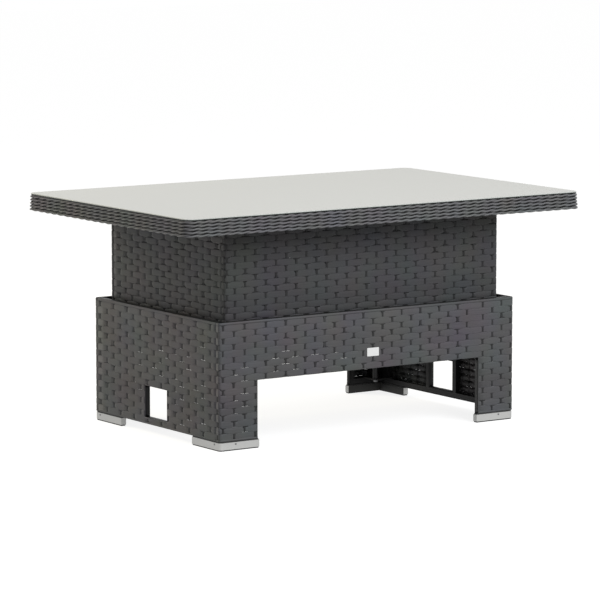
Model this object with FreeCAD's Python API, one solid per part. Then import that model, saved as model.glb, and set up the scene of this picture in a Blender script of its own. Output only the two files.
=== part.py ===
import FreeCAD, Part
import math
import os
from FreeCAD import Vector

# Riser table of woven synthetic rattan on an aluminium frame, drawn with its top raised.
# Millimetres. X runs along the table, the front faces -Y, Z is up, and the origin lies on
# the floor under the middle of the table.

# Driving dimensions of the whole table
top_length = 1400.0
top_width = 900.0
raised_height = 690.0
lift_travel = 225.0
end_overhang = 173.0
side_overhang = 103.5
casing_length = top_length - 2 * end_overhang
casing_width = top_width - 2 * side_overhang
casing_top = 373.0
box_bottom = 288.0
box_end_gap = 21.5
box_side_gap = 13.0

# The weave and the tubes that it is woven on
weave = 2.5
tube = 15.0
tube_wall = 1.2
wall = weave + tube
corner_radius = 6.0
box_length = casing_length - 2 * (wall + box_end_gap)
box_width = casing_width - 2 * (wall + box_side_gap)

# Feet and the open places of the casing
foot_block_height = 27.0
foot_band_bottom = 3.5
foot_band_top = 24.0
foot_band_wall = 1.5
foot_length = 136.0
foot_depth = 149.0
foot_radius = 11.0
foot_screw_x = 55.0
foot_screw_y = 28.0
foot_screw_drop = 5.5
foot_screw_radius = 1.5
foot_screw_length = 9.0
foot_screw_head_radius = 2.6
foot_screw_head_height = 0.8
leg_length = 131.0
arch_top = 198.0
arch_radius = 12.0
hole_width = 121.0
hole_top = 141.0
hole_radius = 4.0
corner_post_width = 50.0
stiffener_share = 0.33
middle_post_share = 0.4

# Table top
glass_thickness = 5.0
glass_radius = 30.0
glass_chamfer = 1.0
rim_height = 47.0
rim_rows = 5
rim_bulge = 3.0
rim_thickness = 9.0
edge_tube_width = 20.0
rail_width = 20.0
rail_height = 25.0
pad_radius = 9.0
inner_rail_share = 0.34

# Lockable gas springs
spring_inset_x = 72.0
spring_inset_y = 74.0
cylinder_radius = 11.0
cylinder_wall = 1.5
cylinder_length = 296.0
cylinder_cap = 8.0
gland_height = 10.0
crimp_depth = 0.6
crimp_height = 2.5
rod_radius = 5.0
piston_height = 12.0
piston_stop_gap = 0.5
stud_radius = 4.0
stud_length = 14.0
collar_radius = 8.0
collar_height = 6.5
release_pin_radius = 2.0
release_pin_reach = 43.0
release_pin_cap_radius = 3.8
release_pin_cap_height = 1.5
release_bore_extra = 7.0
nut_flats = 13.0
nut_height = 6.5
rod_nut_height = 9.5
rod_stud_length = 16.5

# Plates and brackets
plate_thickness = 4.0
flange_thickness = 3.0
flange_drop = 15.0
bracket_margin = 16.0
gusset_margin = 20.0
gusset_depth = 50.0
screw_radius = 2.5
screw_head_radius = 4.5
screw_head_height = 2.6
bolt_radius = 3.0
bolt_head_flats = 10.0
bolt_head_height = 4.0

# Release levers
lever_pivot_offset = 9.0
lever_travel_deg = 7.5
lever_bar_radius = 5.0
lever_bar_end_gap = 9.5
lever_arm_width = 30.0
lever_arm_thickness = 5.0
lever_end_inset = 45.0
lever_sleeve_radius = 7.0
lever_sleeve_length = 36.0
lever_drop = 11.5
lever_pin_radius = 4.0
lever_pin_head_radius = 6.0
lever_pin_head_height = 2.0
lever_rail_offset = 75.0
lever_ear_radius = 8.0
grip_length = 64.0
grip_width = 104.0
grip_thickness = 13.0
grip_radius = 5.0

# Glides between the box and the casing
glide_pad_height = 20.0
box_glide_leg = 21.0
casing_glide_depth = 22.0

# Badge plate on the front apron, bare
badge_width = 42.0
badge_height = 25.0
badge_thickness = 1.2
badge_radius = 2.0
badge_x = 9.0
badge_z = 247.0

# Fits
running_fit = 0.05
slide_gap = 0.3
push_gap = 0.3
loose_fit = 0.1
cut_over = 5.0

# Places worked out from the sizes above
half_top_x = top_length / 2
half_top_y = top_width / 2
half_casing_x = casing_length / 2
half_casing_y = casing_width / 2
half_box_x = box_length / 2
half_box_y = box_width / 2
casing_bottom = foot_block_height
glass_bottom = raised_height - glass_thickness
rim_bottom = glass_bottom - rim_height
rail_top = glass_bottom - weave
rail_bottom = rail_top - rail_height
box_top = rail_bottom
box_end_top = rim_bottom
hole_bottom = casing_bottom + 2 * weave + tube
spring_x = half_casing_x - spring_inset_x
spring_y = half_casing_y - spring_inset_y
bracket_top = hole_bottom + plate_thickness
cylinder_top = bracket_top + cylinder_length
gusset_top = box_end_top - weave - tube
gusset_bottom = gusset_top - plate_thickness
lever_z = rail_bottom - lever_drop
pivot_x = half_box_x + lever_pivot_offset
lever_end_x = half_top_x - lever_end_inset
inner_edge_x = half_top_x - rim_thickness - edge_tube_width
inner_edge_y = half_top_y - rim_thickness - edge_tube_width
outer_rail_x = half_box_x - wall - rail_width / 2
inner_rail_x = outer_rail_x * inner_rail_share
pad_end_x = inner_edge_x - 2 * rail_width
pad_side_y = (half_box_y + inner_edge_y) / 2
corners = [("front_left", -1, -1), ("front_right", 1, -1), ("back_left", -1, 1), ("back_right", 1, 1)]


def block(xs, ys, zs):
    """Box between pairs of limits, given in either order."""
    low = Vector(min(xs), min(ys), min(zs))
    return Part.makeBox(abs(xs[1] - xs[0]), abs(ys[1] - ys[0]), abs(zs[1] - zs[0]), low)


def fuse(solids):
    return solids[0].multiFuse(solids[1:]).removeSplitter()


def cut(solid, tools):
    return solid.cut(Part.Compound(tools))


def narrowed(limits, by):
    return (min(limits) + by, max(limits) - by)


def tube_run(xs, ys, zs, along):
    """Hollow tube that fills the given limits and is open at both ends along one axis."""
    bore = [narrowed(limits, tube_wall) for limits in (xs, ys, zs)]
    run = {"x": 0, "y": 1, "z": 2}[along]
    bore[run] = narrowed((xs, ys, zs)[run], -cut_over)
    inside = block(*bore)
    return block(xs, ys, zs).cut(inside)


def edges_along(solid, axis, places):
    """Straight edges that lie along an axis and pass through one of the places."""
    found = []
    for edge in solid.Edges:
        ends = [vertex.Point for vertex in edge.Vertexes]
        if len(ends) != 2 or not hasattr(edge.Curve, "Direction"):
            continue
        if abs(abs(edge.Curve.Direction.dot(axis)) - 1) > 1e-6:
            continue
        for place in places:
            if place.distanceToLine(ends[0], axis) < 1e-3:
                found.append(edge)
                break
    return found


def round_edges(solid, radius, axis, places):
    return solid.makeFillet(radius, edges_along(solid, axis, places))


def upright(radius, x, y, z0, z1):
    return Part.makeCylinder(radius, z1 - z0, Vector(x, y, z0))


def across(radius, x, z, y0, y1):
    return Part.makeCylinder(radius, abs(y1 - y0), Vector(x, min(y0, y1), z), Vector(0, 1, 0))


def hex_prism(flats, height, x, y, z):
    """Upright hexagon bar standing on the given point."""
    reach = flats / math.sqrt(3)
    points = []
    for side in range(7):
        turn = math.radians(60 * side)
        points.append(Vector(x + reach * math.cos(turn), y + reach * math.sin(turn), z))
    return Part.Face(Part.makePolygon(points)).extrude(Vector(0, 0, height))


def plate(half_x, half_y, z0, z1, radius):
    """Flat plate about the origin with rounded corners."""
    solid = block((-half_x, half_x), (-half_y, half_y), (z0, z1))
    places = [Vector(sx * half_x, sy * half_y, z0) for sx in (-1, 1) for sy in (-1, 1)]
    return round_edges(solid, radius, Vector(0, 0, 1), places)


def export(node, shape):
    shape.exportStep("parts/" + node + ".step")
    print(node, len(shape.Solids), "solids", round(shape.Volume), "mm3")


# Woven skins


def arch_cutter(side, grow):
    """Space under a long side's apron, between its legs."""
    half = half_casing_x - leg_length + grow
    solid = block((-half, half), (0, side * (half_casing_y + cut_over)), (0, arch_top + grow))
    places = [Vector(-half, 0, arch_top + grow), Vector(half, 0, arch_top + grow)]
    return round_edges(solid, arch_radius + grow, Vector(0, 1, 0), places)


def long_tray(side, half_x, half_y, z0, z1):
    """Woven skin of a long side: a sheet whose edges turn in over the tubes that carry it."""
    outer_y = side * half_y
    skin = block((-half_x, half_x), (outer_y, outer_y - side * wall), (z0, z1))
    places = [Vector(sx * half_x, outer_y, z0) for sx in (-1, 1)]
    skin = round_edges(skin, corner_radius, Vector(0, 0, 1), places)
    pocket_y = outer_y - side * weave
    pocket = block((-half_x + weave, half_x - weave), (pocket_y, outer_y - side * (wall + cut_over)),
                   (z0 + weave, z1 - weave))
    places = [Vector(sx * (half_x - weave), pocket_y, z0) for sx in (-1, 1)]
    pocket = round_edges(pocket, corner_radius - weave, Vector(0, 0, 1), places)
    return skin, pocket


def casing_long_side(side):
    skin, pocket = long_tray(side, half_casing_x, half_casing_y, casing_bottom, casing_top)
    pocket = pocket.cut(arch_cutter(side, weave))
    return cut(skin, [arch_cutter(side, 0), pocket])


def hole_cutter(side, grow):
    """Hand hole through an end wall."""
    half = hole_width / 2 + grow
    xs = (side * (half_casing_x - wall - cut_over), side * (half_casing_x + cut_over))
    solid = block(xs, (-half, half), (hole_bottom - grow, hole_top + grow))
    places = [Vector(0, y, z) for y in (-half, half) for z in (hole_bottom - grow, hole_top + grow)]
    return round_edges(solid, hole_radius + grow, Vector(1, 0, 0), places)


def casing_end_side(side):
    outer = side * half_casing_x
    half_y = half_casing_y - wall
    skin = block((outer, outer - side * wall), (-half_y, half_y), (casing_bottom, casing_top))
    pocket = block((outer - side * weave, outer - side * (wall + cut_over)), (-half_y, half_y),
                   (casing_bottom + weave, casing_top - weave))
    pocket = pocket.cut(hole_cutter(side, weave))
    return cut(skin, [hole_cutter(side, 0), pocket])


def box_long_side(side):
    skin, pocket = long_tray(side, half_box_x, half_box_y, box_bottom, box_top)
    holes = [upright(bolt_radius + loose_fit, x, y, box_top - weave - cut_over, box_top + cut_over)
             for x, y in frame_bolt_places()]
    return cut(skin, [pocket] + holes)


def box_end_side(side):
    outer = side * half_box_x
    half_y = half_box_y - wall
    skin = block((outer, outer - side * wall), (-half_y, half_y), (box_bottom, box_end_top))
    pocket = block((outer - side * weave, outer - side * (wall + cut_over)), (-half_y, half_y),
                   (box_bottom + weave, box_end_top - weave))
    return skin.cut(pocket)


# Welded frames


def base_frame():
    """Frame inside the casing: flat tube corner posts, rails, and the tubes round each opening."""
    low = casing_bottom + weave
    high = casing_top - weave
    rail_low = high - tube
    face_x = half_casing_x - weave
    face_y = half_casing_y - weave
    arch_edge = half_casing_x - leg_length + weave
    arch_z = arch_top + weave
    hole_edge = hole_width / 2 + weave
    hole_z = hole_top + weave
    post_x = face_x - corner_post_width
    post_y = face_y - tube - corner_post_width
    stiffener_x = arch_edge * stiffener_share
    tubes = []
    for side in (-1, 1):
        ys = (side * face_y, side * (face_y - tube))
        tubes.append(tube_run((-face_x, face_x), ys, (rail_low, high), "x"))
        tubes.append(tube_run((-arch_edge, arch_edge), ys, (arch_z, arch_z + tube), "x"))
        for end in (-1, 1):
            tubes.append(tube_run((end * post_x, end * face_x), ys, (low, rail_low), "z"))
            tubes.append(tube_run((end * arch_edge, end * (arch_edge + tube)), ys, (low, rail_low), "z"))
            tubes.append(tube_run((end * (arch_edge + tube), end * post_x), ys, (low, low + tube), "x"))
            xs = (end * (stiffener_x - tube / 2), end * (stiffener_x + tube / 2))
            tubes.append(tube_run(xs, ys, (arch_z + tube, rail_low), "z"))
    for end in (-1, 1):
        xs = (end * face_x, end * (face_x - tube))
        inner_y = face_y - tube
        tubes.append(tube_run(xs, (-inner_y, inner_y), (rail_low, high), "y"))
        tubes.append(tube_run(xs, (-post_y, post_y), (low, low + tube), "y"))
        tubes.append(tube_run(xs, (-hole_edge, hole_edge), (hole_z, hole_z + tube), "y"))
        for side in (-1, 1):
            tubes.append(tube_run(xs, (side * post_y, side * inner_y), (low, rail_low), "z"))
            ys = (side * hole_edge, side * (hole_edge + tube))
            tubes.append(tube_run(xs, ys, (low + tube, rail_low), "z"))
    frame = fuse(tubes).common(plate(face_x, face_y, low, high, corner_radius - weave))
    holes = [screw_hole(*place) for place in bracket_screw_places()]
    return cut(frame, holes)


def gusset(sx, sy):
    """Plate welded in a top corner of the box frame, which a gas spring pushes up against."""
    xs = (sx * (spring_x - gusset_margin), sx * (half_box_x - weave))
    ys = (sy * (half_box_y - wall - gusset_depth), sy * (half_box_y - wall))
    solid = block(xs, ys, (gusset_bottom, gusset_top))
    bore = upright(stud_radius + loose_fit, sx * spring_x, sy * spring_y,
                   gusset_bottom - cut_over, gusset_top + cut_over)
    return solid.cut(bore)


def box_frame():
    """Frame of the sliding box, with its end rails set low so that the levers pass over them."""
    low = box_bottom + weave
    high = box_top - weave
    end_high = box_end_top - weave
    face_x = half_box_x - weave
    face_y = half_box_y - weave
    middle_x = face_x * middle_post_share
    tubes = []
    for side in (-1, 1):
        ys = (side * face_y, side * (face_y - tube))
        tubes.append(tube_run((-face_x, face_x), ys, (high - tube, high), "x"))
        tubes.append(tube_run((-face_x + tube, face_x - tube), ys, (low, low + tube), "x"))
        for end in (-1, 1):
            xs = (end * face_x, end * (face_x - tube))
            tubes.append(tube_run(xs, ys, (low, high - tube), "z"))
            xs = (end * (middle_x - tube / 2), end * (middle_x + tube / 2))
            tubes.append(tube_run(xs, ys, (low + tube, high - tube), "z"))
    for end in (-1, 1):
        xs = (end * face_x, end * (face_x - tube))
        inner_y = face_y - tube
        tubes.append(tube_run(xs, (-inner_y, inner_y), (end_high - tube, end_high), "y"))
        tubes.append(tube_run(xs, (-inner_y, inner_y), (low, low + tube), "y"))
        tubes.append(tube_run(xs, (-tube / 2, tube / 2), (low + tube, end_high - tube), "z"))
    gussets = [gusset(sx, sy) for name, sx, sy in corners]
    frame = fuse(tubes + gussets).common(plate(face_x, face_y, low, high, corner_radius - weave))
    holes = []
    for x, y in frame_bolt_places():
        holes.append(upright(bolt_radius + loose_fit, x, y, high - tube - cut_over, high + cut_over))
    return cut(frame, holes)


def edge_ring(outer_inset, inner_inset, z0, z1):
    """Flat ring that follows the outline of the top between two insets from its edge."""
    outer = plate(half_top_x - outer_inset, half_top_y - outer_inset, z0, z1, glass_radius - outer_inset)
    inner = plate(half_top_x - inner_inset, half_top_y - inner_inset, z0 - cut_over, z1 + cut_over,
                  glass_radius - inner_inset)
    return outer.cut(inner)


def table_frame():
    """Frame under the glass: a bent edge tube with long rails and cross rails inside it."""
    outer = rim_thickness
    inner = rim_thickness + edge_tube_width
    low = rim_bottom + weave
    edge = edge_ring(outer, inner, low, rail_top)
    bore = edge_ring(outer + tube_wall, inner - tube_wall, low + tube_wall, rail_top - tube_wall)
    tubes = [edge.cut(bore)]
    zs = (rail_bottom, rail_top)
    cross_places = [-outer_rail_x, -inner_rail_x, inner_rail_x, outer_rail_x]
    for x in cross_places:
        xs = (x - rail_width / 2, x + rail_width / 2)
        tubes.append(tube_run(xs, (-inner_edge_y, inner_edge_y), zs, "y"))
    stops = [-inner_edge_x]
    for x in cross_places:
        stops += [x - rail_width / 2, x + rail_width / 2]
    stops.append(inner_edge_x)
    for y in (-lever_rail_offset, lever_rail_offset):
        ys = (y - rail_width / 2, y + rail_width / 2)
        for start, stop in zip(stops[0::2], stops[1::2]):
            tubes.append(tube_run((start, stop), ys, zs, "x"))
    frame = fuse(tubes)
    bolt_top = rail_bottom + tube_wall + cut_over
    holes = []
    for x, y in frame_bolt_places():
        holes.append(upright(bolt_radius + loose_fit, x, y, rail_bottom - cut_over, bolt_top))
    for x, y in lever_screw_places():
        holes.append(upright(screw_radius + loose_fit, x, y, rail_bottom - cut_over, bolt_top))
    return cut(frame, holes)


# Table top


def glass_top():
    pane = plate(half_top_x, half_top_y, glass_bottom, raised_height, glass_radius)
    level = [edge for edge in pane.Edges if edge.BoundBox.ZLength < glass_chamfer]
    return pane.makeChamfer(glass_chamfer, level)


def rim_profile(x, outward):
    """Section of the woven rim: rounded rows outside, turned in over and under the edge tube."""
    edge = x - outward * rim_bulge
    back = x - outward * rim_thickness
    inner = x - outward * (rim_thickness + edge_tube_width)
    pitch = rim_height / rim_rows
    sides = []
    for row in range(rim_rows):
        top = glass_bottom - row * pitch
        start = Vector(edge, 0, top)
        middle = Vector(x, 0, top - pitch / 2)
        stop = Vector(edge, 0, top - pitch)
        sides.append(Part.Arc(start, middle, stop).toShape())
    turn = [(edge, rim_bottom), (inner, rim_bottom), (inner, rim_bottom + weave), (back, rim_bottom + weave),
            (back, rail_top), (inner, rail_top), (inner, glass_bottom), (edge, glass_bottom)]
    for start, stop in zip(turn[:-1], turn[1:]):
        sides.append(Part.LineSegment(Vector(start[0], 0, start[1]), Vector(stop[0], 0, stop[1])).toShape())
    return Part.Wire(Part.__sortEdges__(sides))


def rim_weave():
    """The section carried round the top: straight stretches, with a quarter turn at each corner."""
    section = Part.Face(rim_profile(half_top_x, 1))
    straight_x = half_top_x - glass_radius
    straight_y = half_top_y - glass_radius
    end = section.copy()
    end.translate(Vector(0, -straight_y, 0))
    end_run = end.extrude(Vector(0, 2 * straight_y, 0))
    corner = section.copy()
    corner.translate(Vector(0, straight_y, 0))
    turn = corner.revolve(Vector(straight_x, straight_y, 0), Vector(0, 0, 1), 90)
    side = section.copy()
    side.rotate(Vector(0, 0, 0), Vector(0, 0, 1), 90)
    side.translate(Vector(straight_x, half_top_y - half_top_x, 0))
    side_run = side.extrude(Vector(-2 * straight_x, 0, 0))
    next_turn = side.copy()
    next_turn.translate(Vector(-2 * straight_x, 0, 0))
    second = next_turn.revolve(Vector(-straight_x, straight_y, 0), Vector(0, 0, 1), 90)
    half = [end_run, turn, side_run, second]
    other = []
    for solid in half:
        twin = solid.copy()
        twin.rotate(Vector(0, 0, 0), Vector(0, 0, 1), 180)
        other.append(twin)
    return fuse(half + other)


def glass_pads():
    """Clear soft discs on the rails, which the pane lies on."""
    places = []
    for x in (-outer_rail_x, -inner_rail_x, inner_rail_x, outer_rail_x):
        for y in (-pad_side_y, -lever_rail_offset, lever_rail_offset, pad_side_y):
            places.append((x, y))
    for x in (-pad_end_x, pad_end_x):
        for y in (-lever_rail_offset, lever_rail_offset):
            places.append((x, y))
    return Part.Compound([upright(pad_radius, x, y, rail_top, glass_bottom) for x, y in places])



# Feet


def foot_outline(sx, sy, z0, z1, inset):
    """L shaped prism under one leg, following the casing's corner."""
    outer_x = half_casing_x - inset
    outer_y = half_casing_y - inset
    inner_x = half_casing_x - wall + inset
    inner_y = half_casing_y - wall + inset
    end_x = half_casing_x - foot_length + inset
    end_y = half_casing_y - foot_depth + inset
    along = block((sx * outer_x, sx * end_x), (sy * outer_y, sy * inner_y), (z0, z1))
    deep = block((sx * outer_x, sx * inner_x), (sy * outer_y, sy * end_y), (z0, z1))
    corner = Vector(sx * outer_x, sy * outer_y, z0)
    return round_edges(fuse([along, deep]), foot_radius - inset, Vector(0, 0, 1), [corner])


def foot_screw_places(sx, sy):
    """Inward direction and outer point of the two screws in one foot."""
    z = foot_band_top - foot_screw_drop
    front = (Vector(0, -sy, 0), Vector(sx * (half_casing_x - foot_screw_x), sy * half_casing_y, z))
    end = (Vector(-sx, 0, 0), Vector(sx * half_casing_x, sy * (half_casing_y - foot_screw_y), z))
    return [front, end]


def foot_screw_holes(sx, sy):
    return [Part.makeCylinder(foot_screw_radius + running_fit, foot_screw_length + loose_fit, point, inward)
            for inward, point in foot_screw_places(sx, sy)]


def foot_band(sx, sy):
    """Metal sleeve round the foot block."""
    outside = foot_outline(sx, sy, foot_band_bottom, foot_band_top, 0)
    inside = foot_outline(sx, sy, foot_band_bottom - cut_over, foot_band_top + cut_over, foot_band_wall)
    return cut(outside, [inside] + foot_screw_holes(sx, sy))


def foot_block(sx, sy):
    """Moulded block that stands on the floor and carries the leg."""
    solid = foot_outline(sx, sy, 0, foot_block_height, foot_band_wall + loose_fit)
    return cut(solid, foot_screw_holes(sx, sy))


def foot_screws():
    """Small pan head screws that hold the bands on their blocks."""
    screws = []
    for name, sx, sy in corners:
        for inward, point in foot_screw_places(sx, sy):
            shank = Part.makeCylinder(foot_screw_radius, foot_screw_length, point, inward)
            outer = point - inward * foot_screw_head_height
            head = Part.makeCylinder(foot_screw_head_radius, foot_screw_head_height, outer, inward)
            screws.append(fuse([shank, head]))
    return Part.Compound(screws)


# Gas springs and what holds them


def bracket_screw_places():
    """Axis, corner signs and point of every screw that holds a spring bracket to its posts."""
    places = []
    z = hole_bottom - flange_drop / 2
    for name, sx, sy in corners:
        x = half_casing_x - wall - corner_post_width / 4
        places.append(("y", sx, sy, sx * x, sy * (half_casing_y - wall), z))
        y = half_casing_y - wall - corner_post_width / 4
        places.append(("x", sx, sy, sx * (half_casing_x - wall), sy * y, z))
    return places


def screw_axis(axis, sx, sy):
    return Vector(0, sy, 0) if axis == "y" else Vector(sx, 0, 0)


def screw_hole(axis, sx, sy, x, y, z):
    outward = screw_axis(axis, sx, sy)
    start = Vector(x, y, z) - outward * cut_over
    return Part.makeCylinder(screw_radius + loose_fit, cut_over + 2 * tube_wall, start, outward)


def bracket_screw(axis, sx, sy, x, y, z):
    """Pan head screw through the flange into the post's wall."""
    outward = screw_axis(axis, sx, sy)
    seat = Vector(x, y, z) - outward * flange_thickness
    shank = Part.makeCylinder(screw_radius, flange_thickness + 2 * tube_wall, seat, outward)
    rim = seat - outward * screw_head_height
    head = Part.makeCylinder(screw_head_radius, screw_head_height, rim, outward)
    return fuse([shank, head])


def bracket_screws():
    return Part.Compound([bracket_screw(*place) for place in bracket_screw_places()])


def spring_bracket(sx, sy):
    """Folded plate in a bottom corner of the casing, which carries one gas spring."""
    inner_x = half_casing_x - wall
    inner_y = half_casing_y - wall
    xs = (sx * (spring_x - bracket_margin), sx * inner_x)
    ys = (sy * (spring_y - bracket_margin), sy * inner_y)
    shelf = block(xs, ys, (hole_bottom, bracket_top))
    low = hole_bottom - flange_drop
    post_x = inner_x - corner_post_width / 2
    post_y = inner_y - corner_post_width / 2
    front = block((sx * post_x, sx * inner_x), (sy * inner_y, sy * (inner_y - flange_thickness)),
                  (low, hole_bottom))
    end = block((sx * inner_x, sx * (inner_x - flange_thickness)),
                (sy * post_y, sy * (inner_y - flange_thickness)), (low, hole_bottom))
    solid = fuse([shelf, front, end])
    solid = round_edges(solid, bracket_margin / 2, Vector(0, 0, 1),
                        [Vector(xs[0], ys[0], hole_bottom)])
    holes = [upright(stud_radius + loose_fit, sx * spring_x, sy * spring_y,
                     hole_bottom - cut_over, bracket_top + cut_over)]
    for place in bracket_screw_places():
        if place[1] == sx and place[2] == sy:
            holes.append(screw_hole(*place))
    return cut(solid, holes)


def turned(points, x, y):
    """Solid of revolution about an upright line, from its half section."""
    corners_3d = [Vector(x + radius, y, z) for radius, z in points]
    face = Part.Face(Part.makePolygon(corners_3d + [corners_3d[0]]))
    return face.revolve(Vector(x, y, 0), Vector(0, 0, 1), 360)


def spring_cylinder(sx, sy):
    """Pressure tube with its closed foot, threaded stud, crimped neck and gland."""
    x = sx * spring_x
    y = sy * spring_y
    bore = cylinder_radius - cylinder_wall
    floor = bracket_top + cylinder_cap
    gland = cylinder_top - gland_height
    neck = gland - crimp_height
    points = [
        (0, bracket_top - stud_length), (stud_radius, bracket_top - stud_length), (stud_radius, bracket_top),
        (cylinder_radius, bracket_top), (cylinder_radius, neck), (cylinder_radius - crimp_depth, neck),
        (cylinder_radius - crimp_depth, gland), (cylinder_radius, gland), (cylinder_radius, cylinder_top),
        (rod_radius + running_fit, cylinder_top), (rod_radius + running_fit, gland), (bore, gland),
        (bore, floor), (0, floor)]
    return turned(points, x, y)


def spring_nuts():
    """Nuts under the brackets, on the cylinders' studs."""
    nuts = []
    for name, sx, sy in corners:
        nut = hex_prism(nut_flats, nut_height, sx * spring_x, sy * spring_y, hole_bottom - nut_height)
        bore = upright(stud_radius, sx * spring_x, sy * spring_y, hole_bottom - nut_height - cut_over,
                       hole_bottom + cut_over)
        nuts.append(nut.cut(bore))
    return Part.Compound(nuts)


def spring_rod(sx, sy):
    """Piston and rod, with a collar under the gusset and a hollow stud through it."""
    bore = cylinder_radius - cylinder_wall
    piston_top = cylinder_top - gland_height - piston_stop_gap
    stud_top = gusset_top + rod_stud_length - plate_thickness
    hole = release_pin_radius + running_fit
    hole_floor = release_pin_top() - release_pin_reach - release_bore_extra
    collar_low = gusset_bottom - collar_height
    points = [
        (0, piston_top - piston_height), (bore - running_fit, piston_top - piston_height),
        (bore - running_fit, piston_top), (rod_radius, piston_top), (rod_radius, collar_low),
        (collar_radius, collar_low), (collar_radius, gusset_bottom), (stud_radius, gusset_bottom),
        (stud_radius, stud_top), (hole, stud_top), (hole, hole_floor), (0, hole_floor)]
    return turned(points, sx * spring_x, sy * spring_y)


def rod_nuts():
    """Nuts that hold the rods' studs on the gussets."""
    nuts = []
    for name, sx, sy in corners:
        nut = hex_prism(nut_flats, rod_nut_height, sx * spring_x, sy * spring_y, gusset_top)
        bore = upright(stud_radius, sx * spring_x, sy * spring_y, gusset_top - cut_over,
                       gusset_top + rod_nut_height + cut_over)
        nuts.append(nut.cut(bore))
    return Part.Compound(nuts)


def release_pin_top():
    return lever_z - lever_bar_radius - push_gap


def release_pin(sx, sy):
    """Pin in the hollow rod that unlocks the spring when it is pushed down."""
    top = release_pin_top()
    cap_low = top - release_pin_cap_height
    points = [
        (0, top - release_pin_reach), (release_pin_radius, top - release_pin_reach),
        (release_pin_radius, cap_low), (release_pin_cap_radius, cap_low), (release_pin_cap_radius, top),
        (0, top)]
    return turned(points, sx * spring_x, sy * spring_y)


def frame_bolt_places():
    y = half_box_y - weave - tube / 2
    xs = (-outer_rail_x, -inner_rail_x, inner_rail_x, outer_rail_x)
    return [(x, side * y) for side in (-1, 1) for x in xs]


def frame_bolts():
    """Bolts up through the box frame and the weave into the cross rails."""
    seat = box_top - weave - tube
    bolts = []
    for x, y in frame_bolt_places():
        head = hex_prism(bolt_head_flats, bolt_head_height, x, y, seat - bolt_head_height)
        shank = upright(bolt_radius, x, y, seat, rail_bottom + 2 * tube_wall)
        bolts.append(fuse([head, shank]))
    return Part.Compound(bolts)


# Release levers


def lever_screw_places():
    return [(side * pivot_x, y) for side in (-1, 1) for y in (-lever_rail_offset, lever_rail_offset)]


def lever_bracket(side):
    """Strip across the two long rails with a pair of ears for the lever's pin."""
    half = lever_ear_radius
    x = side * pivot_x
    reach = lever_rail_offset + rail_width / 2
    strip = block((x - half, x + half), (-reach, reach), (rail_bottom - flange_thickness, rail_bottom))
    ears = []
    for hand in (-1, 1):
        near = hand * (lever_sleeve_length / 2 + slide_gap)
        far = near + hand * flange_thickness
        web = block((x - half, x + half), (near, far), (lever_z, rail_bottom - flange_thickness))
        ears += [web, across(half, x, lever_z, near, far)]
    solid = fuse([strip] + ears)
    holes = [across(lever_pin_radius + running_fit, x, lever_z, -reach, reach)]
    for y in (-lever_rail_offset, lever_rail_offset):
        holes.append(upright(screw_radius + loose_fit, x, y, rail_bottom - flange_thickness - cut_over,
                             rail_bottom + cut_over))
    return cut(solid, holes)


def lever_screws():
    """Pan head screws that hold the lever brackets under the rails."""
    screws = []
    for x, y in lever_screw_places():
        seat = rail_bottom - flange_thickness
        shank = upright(screw_radius, x, y, seat, rail_bottom + 2 * tube_wall)
        head = upright(screw_head_radius, x, y, seat - screw_head_height, seat)
        screws.append(fuse([shank, head]))
    return Part.Compound(screws)


def lever_pin(side):
    """Headed pin through the bracket's ears and the lever's sleeve, with a washer riveted on."""
    x = side * pivot_x
    end = lever_sleeve_length / 2 + slide_gap + flange_thickness
    shank = across(lever_pin_radius, x, lever_z, -end - lever_pin_head_height, end + lever_pin_head_height)
    heads = []
    for hand in (-1, 1):
        rim = hand * (end + lever_pin_head_height)
        heads.append(across(lever_pin_head_radius, x, lever_z, hand * end, rim))
    return fuse([shank] + heads)


def release_lever(side):
    """T shaped lever: a cross bar over two release pins, an arm, and the sleeve that it turns on."""
    x = side * pivot_x
    bar_x = side * spring_x
    bar_reach = half_box_y - wall - lever_bar_end_gap
    bar = across(lever_bar_radius, bar_x, lever_z, -bar_reach, bar_reach)
    arm_half = lever_arm_thickness / 2
    outer_x = side * lever_end_x
    arm = block((bar_x, outer_x), (-lever_arm_width / 2, lever_arm_width / 2),
                (lever_z - arm_half, lever_z + arm_half))
    sleeve = across(lever_sleeve_radius, x, lever_z, -lever_sleeve_length / 2, lever_sleeve_length / 2)
    bore = across(lever_pin_radius + running_fit, x, lever_z, -lever_sleeve_length, lever_sleeve_length)
    return fuse([bar, arm, sleeve]).cut(bore)


def lever_grip(side):
    """Moulded sleeve pushed over the end of the arm."""
    low = lever_z - grip_thickness / 2
    high = lever_z + grip_thickness / 2
    xs = (side * (lever_end_x - grip_length), side * (lever_end_x + grip_radius))
    half = grip_width / 2
    solid = block(xs, (-half, half), (low, high))
    corners_xy = [Vector(x, y, low) for x in xs for y in (-half, half)]
    solid = round_edges(solid, 2 * grip_radius, Vector(0, 0, 1), corners_xy)
    level = [edge for edge in solid.Edges if edge.BoundBox.ZLength < loose_fit]
    solid = solid.makeFillet(grip_radius, level)
    arm_half = lever_arm_thickness / 2
    slot = block((xs[0] - side * cut_over, side * lever_end_x), (-lever_arm_width / 2, lever_arm_width / 2),
                 (lever_z - arm_half, lever_z + arm_half))
    return solid.cut(slot)


# Slides between the box and the casing


def box_glides():
    """Nylon shoes on the box's bottom corners, running on the casing's corner posts."""
    low = box_bottom + weave
    reach_x = half_casing_x - wall - slide_gap
    reach_y = half_casing_y - wall - slide_gap
    shoes = []
    for name, sx, sy in corners:
        zs = (low, low + glide_pad_height)
        front = block((sx * (half_box_x - box_glide_leg), sx * reach_x), (sy * half_box_y, sy * reach_y), zs)
        end = block((sx * half_box_x, sx * reach_x), (sy * (half_box_y - box_glide_leg), sy * half_box_y), zs)
        shoes.append(fuse([front, end]))
    return Part.Compound(shoes)


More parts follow.
